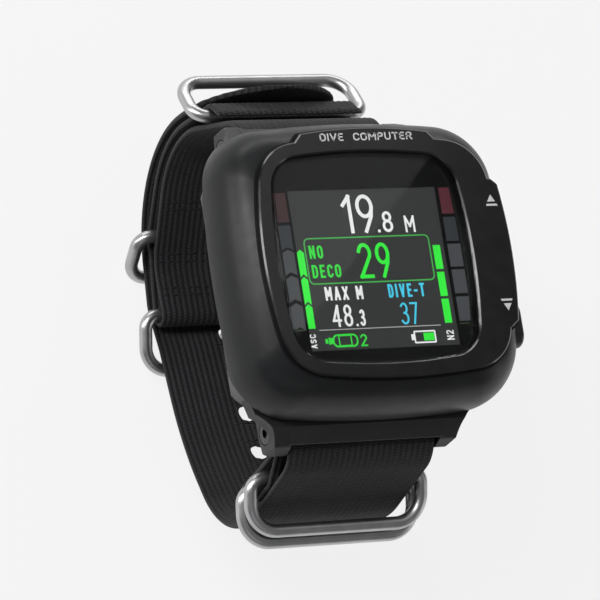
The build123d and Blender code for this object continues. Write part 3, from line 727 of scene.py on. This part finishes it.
# ---------------------------------------------------------------- rings
def wire_ring(node, bar, angle, pitch, free_corner, body):
    """Closed loop of round wire with rounder free corners; the butt weld sits on the sewn bar."""
    radius, half, sewn_corner = 1.6, 22.4, 3.4
    route = []
    for x, y, start in ((half, pitch, 0), (-half, pitch, 90), (-half, 0, 180), (half, 0, 270)):
        bend = free_corner if y > 0 else sewn_corner
        cx = x - bend if x > 0 else x + bend
        cy = y - bend if y > 0 else y + bend
        for k in range(19):
            turn = radians(start + 90 * k / 18)
            route.append((cx + bend * cos(turn), cy + bend * sin(turn), cos(turn), sin(turn)))
    filled = []
    for a, b in zip(route, route[1:] + route[:1]):
        filled.append(a)
        gap = hypot(b[0] - a[0], b[1] - a[1])
        count = int(gap / 1.2)
        filled += [
            tuple(a[i] + (b[i] - a[i]) * k / (count + 1) for i in range(4)) for k in range(1, count + 1)
        ]
    up = (cos(radians(angle)), sin(radians(angle)))
    side = (-up[1], up[0])
    points, faces, around = [], [], 28
    for x, y, nx, ny in filled:
        swell = 0.0
        if y < 0.1:
            swell = 0.05 / (1 + (x / 0.5) ** 2)
        for k in range(around):
            turn = 2 * pi * k / around
            out, over = (radius + swell) * cos(turn), (radius + swell) * sin(turn)
            px, py = x + nx * out, y + ny * out
            points.append((px, bar[0] + up[0] * py + side[0] * over, bar[1] + up[1] * py + side[1] * over))
    n = len(filled)
    for i in range(n):
        for k in range(around):
            a, b = i * around, (i + 1) % n * around
            faces.append((a + k, b + k, b + (k + 1) % around, a + (k + 1) % around))
    piece = add_piece(node, points, faces, ring_steel, body)
    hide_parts(node)


wire_ring("keeper_ring_top", (46.5, -9.4), -33.0, 12.6, 5.8, "top_keeper")
wire_ring("keeper_ring_back", (28.5, -49.5), 233.0, 12.6, 5.0, "back_keeper")
wire_ring("buckle_ring", (9.5, -52.5), 197.6, 13.6, 5.8, "buckle")
wire_ring("lower_ring_front", (-41.5, -9.4), 199.5, 12.6, 6.8, "front_lower_ring")
wire_ring("lower_ring_rear", (-42.9, -14.9), 194.0, 12.6, 6.8, "rear_lower_ring")

# ---------------------------------------------------------------- display
SCREEN = (24.02, 24.06)  # low and high Z of what the panel shows
INK = (24.31, 24.36)

white = Shapes()
white.text("19", -5.9, 7.4, 8.2, 9.2, 0.88, *SCREEN)
white.text(".8", 2.7, 7.4, 4.1, 5.0, 0.66, *SCREEN)
white.text("M", 9.9, 7.2, 2.6, 4.0, 0.5, *SCREEN)
white.text("MAX M", -13.5, -8.3, 9.7, 3.2, 0.52, *SCREEN)
white.text("48", -12.6, -14.6, 5.2, 5.2, 0.56, *SCREEN)
white.text(".3", -6.7, -14.6, 2.5, 3.9, 0.52, *SCREEN)
white.text("ASC", -19.15, -19.4, 1.6, 3.3, 0.27, *SCREEN, turned=True)
white.text("N2", 16.15, -18.8, 1.9, 2.3, 0.26, *SCREEN, turned=True)
battery_outside = rounded_box(7.6, 13.3, -19.3, -16.3, 0.3)
battery_inside = rounded_box(7.95, 12.95, -18.95, -16.65, 0.15)
white.frame(battery_outside, battery_inside, *SCREEN)
white.slab([(6.9, -18.5), (7.6, -18.5), (7.6, -17.1), (6.9, -17.1)], *SCREEN)
white.piece("screen_white", lit_white, "display")

rule = Shapes()
rule.slab([(-16.4, -15.3), (15.0, -15.3), (15.0, -15.1), (-16.4, -15.1)], *SCREEN)
rule.piece("screen_rule", lit_grey, "display")

cyan = Shapes()
cyan.text("DIVE-T", 2.8, -8.2, 9.5, 3.2, 0.5, *SCREEN)
cyan.text("37", 5.1, -14.7, 4.6, 5.2, 0.46, *SCREEN)
cyan.piece("screen_cyan", lit_cyan, "display")

words = Shapes()
words.text("NO", -15.9, 1.7, 3.5, 3.1, 0.5, *SCREEN)
words.text("DECO", -15.9, -2.9, 7.4, 3.1, 0.5, *SCREEN)
words.text("2", -6.3, -19.4, 1.7, 2.9, 0.42, *SCREEN)
tank_outside = rounded_box(-13.4, -6.9, -19.4, -16.3, 1.3)
tank_inside = rounded_box(-13.0, -7.3, -19.0, -16.7, 0.95)
words.frame(tank_outside, tank_inside, *SCREEN)
band_outside = rounded_box(-11.9, -8.5, -19.0, -16.7, 0.1)
band_inside = rounded_box(-11.6, -8.8, -18.9, -16.8, 0.05)
words.frame(band_outside, band_inside, *SCREEN)
words.slab([(-14.4, -18.7), (-13.4, -18.5), (-13.4, -17.2), (-14.4, -17.0)], *SCREEN)
words.slab([(-15.3, -18.4), (-14.6, -18.4), (-14.6, -17.3), (-15.3, -17.3)], *SCREEN)
words.piece("screen_green_words", lit_soft_green, "display")

box = Shapes()
box.frame(rounded_box(-17.0, 15.6, -4.45, 6.6, 1.3), rounded_box(-16.7, 15.3, -4.15, 6.3, 1.0), *SCREEN)
box.piece("screen_box", lit_outline, "display")

bars = Shapes()
bars.text("29", -3.7, -3.4, 8.3, 8.4, 0.86, *SCREEN)
for low, high in ((-1.85, 3.9), (-8.35, -2.55), (-14.75, -9.0)):
    bars.slab([(16.25, low), (18.15, low), (18.15, high), (16.25, high)], *SCREEN)
    foot = (low, low) if low < -14 else (low - 0.8, low)
    bars.slab(
        [(-19.12, foot[0]), (-18.2, foot[1]), (-17.3, foot[0]), (-17.3, high - 0.75), (-18.2, high + 0.05),
         (-19.12, high - 0.75)],
        *SCREEN,
    )
bars.slab([(10.1, -18.7), (12.8, -18.7), (12.8, -16.9), (10.1, -16.9)], *SCREEN)
bars.piece("screen_green_bars", lit_green, "display")

# printed scales beside the screen, on the back of the glass; their inks glow, as painted light standing in
# for the lamp light that the glass keeps from them
grey_blocks = Shapes()
for low, high in ((-1.5, 4.0), (-7.9, -2.2), (-14.5, -8.7)):
    grey_blocks.slab([(20.0, low), (23.4 if low > -14 else 22.8, low), (23.4, high), (20.0, high)], *INK)
    grey_blocks.slab(
        [(-22.9, low - 0.6), (-21.4, low + 0.2), (-19.9, low - 0.6), (-19.9, high - 0.8), (-21.4, high),
         (-22.9, high - 0.8)],
        *INK,
    )
grey_blocks.piece("scale_grey", ink_grey_painted_glow, "glass_print")
slate_blocks = Shapes()
slate_blocks.slab([(20.0, 4.7), (23.3, 4.7), (23.2, 10.5), (20.0, 10.5)], *INK)
slate_blocks.slab([(-22.9, 3.8), (-21.4, 4.6), (-19.9, 3.8), (-19.9, 9.7), (-22.9, 9.7)], *INK)
slate_blocks.piece("scale_slate", ink_slate_painted_glow, "glass_print")
red_blocks = Shapes()
red_blocks.slab([(20.0, 11.3), (23.1, 11.3), (22.7, 17.6), (20.0, 17.6)], *INK)
red_blocks.piece("scale_red", ink_red_painted_glow, "glass_print")
dark_red_blocks = Shapes()
dark_red_blocks.slab([(-22.8, 10.5), (-19.9, 10.5), (-19.9, 17.4), (-22.4, 17.4)], *INK)
dark_red_blocks.piece("scale_dark_red", ink_dark_red_painted_glow, "glass_print")
base_lines = Shapes()
base_lines.slab([(19.9, -15.2), (22.4, -15.2), (22.4, -15.0), (19.9, -15.0)], *INK)
base_lines.slab([(-22.4, -15.2), (-19.9, -15.2), (-19.9, -15.0), (-22.4, -15.0)], *INK)
base_lines.piece("scale_base_lines", ink_olive_painted_glow, "glass_print")

# pad-printed marks on the face plate
FACE = (26.98, 27.04)
marks = Shapes()
marks.slab([(31.2, 13.3), (33.3, 13.3), (32.3, 15.0)], *FACE)
marks.slab([(30.8, 12.25), (33.8, 12.25), (33.65, 12.75), (30.95, 12.75)], *FACE)
marks.slab([(32.15, -13.0), (33.2, -11.3), (31.1, -11.3)], *FACE)
marks.slab([(30.75, -10.7), (33.45, -10.7), (33.6, -10.2), (30.6, -10.2)], *FACE)
marks.text("DIVE  COMPUTER", -9.8, 28.9, 24.0, 1.85, 0.33, *FACE)
marks.piece("face_marks", print_white, "bezel")

# ---------------------------------------------------------------- floor, lights and camera
floor_material, tree, skin = new_material("studio_floor")
place = add_node(tree, "ShaderNodeTexCoord").outputs["Object"]
floor_tone = tint(tree, noise(tree, place, 3, 2), (0.1, 0.1, 0.1), (0.11, 0.11, 0.11))
tree.links.new(floor_tone, skin.inputs["Base Color"])
skin.inputs["Specular IOR Level"].default_value = 0.0
skin.inputs["Roughness"].default_value = 0.9
skin.inputs["Emission Color"].default_value = (1, 1, 1, 1)
skin.inputs["Emission Strength"].default_value = 0.83
mesh = bpy.data.meshes.new("studio_floor")
floor_z = cad_low.z - 0.0006
corners = [(x, y, floor_z) for x, y in ((-6, -6), (6, -6), (6, 6), (-6, 6))]
mesh.from_pydata(corners, [], [(0, 1, 2, 3)])
mesh.materials.append(floor_material)
studio_floor = bpy.data.objects.new("studio_floor", mesh)
bpy.context.scene.collection.objects.link(studio_floor)


def facing(spot, aim, spin):
    """Rotation of a light or camera that looks from one place to another, rolled about its own axis."""
    towards = Vector(aim) - Vector(spot)
    return towards.to_track_quat("-Z", "Y").to_matrix() @ Matrix.Rotation(radians(spin), 3, "Z")


def softbox(name, spot, aim, size, power, spin=0):
    light = bpy.data.lights.new(name, "AREA")
    light.shape = "RECTANGLE"
    light.size, light.size_y = size
    light.energy = power
    holder = bpy.data.objects.new(name, light)
    holder.rotation_euler = facing(spot, aim, spin).to_euler()
    holder.location = spot
    bpy.context.scene.collection.objects.link(holder)


softbox("left_box", (-1.0, 0.3, 0.36), (0, 0, 0.01), (0.2, 1.0), 5.6)
softbox("upper_left_box", (-0.7, 0.33, 0.83), (0, 0, 0.01), (0.12, 0.7), 6)
softbox("back_box", (0.1, 1.0, 0.22), (0, 0, 0), (1.3, 0.3), 5)
softbox("front_box", (-0.2, -0.9, 0.75), (0, 0, 0), (0.9, 0.4), 0.5)
softbox("right_box", (1.0, -0.5, 0.35), (0, 0, 0), (0.3, 0.9), 1.1)
softbox("top_card", (0.208, 0.307, 0.62), (0.208, 0.308, 0), (0.36, 0.9), 0.48, -45)

world = bpy.data.worlds.new("studio")
world.use_nodes = True
world.node_tree.nodes["Background"].inputs["Color"].default_value = (0.93, 0.94, 0.96, 1)
world.node_tree.nodes["Background"].inputs["Strength"].default_value = 0.16
bpy.context.scene.world = world
bpy.context.scene.view_settings.view_transform = "Standard"

camera_data = bpy.data.cameras.new("camera")
camera_data.sensor_width = 36
camera_data.lens = 276
camera = bpy.data.objects.new("camera", camera_data)
camera_spot = (-0.4911, -0.2387, 0.93)
camera.rotation_euler = facing(camera_spot, (-0.0073, -0.0016, 0), 58.1).to_euler()
camera.location = camera_spot
bpy.context.scene.collection.objects.link(camera)
bpy.context.scene.camera = camera
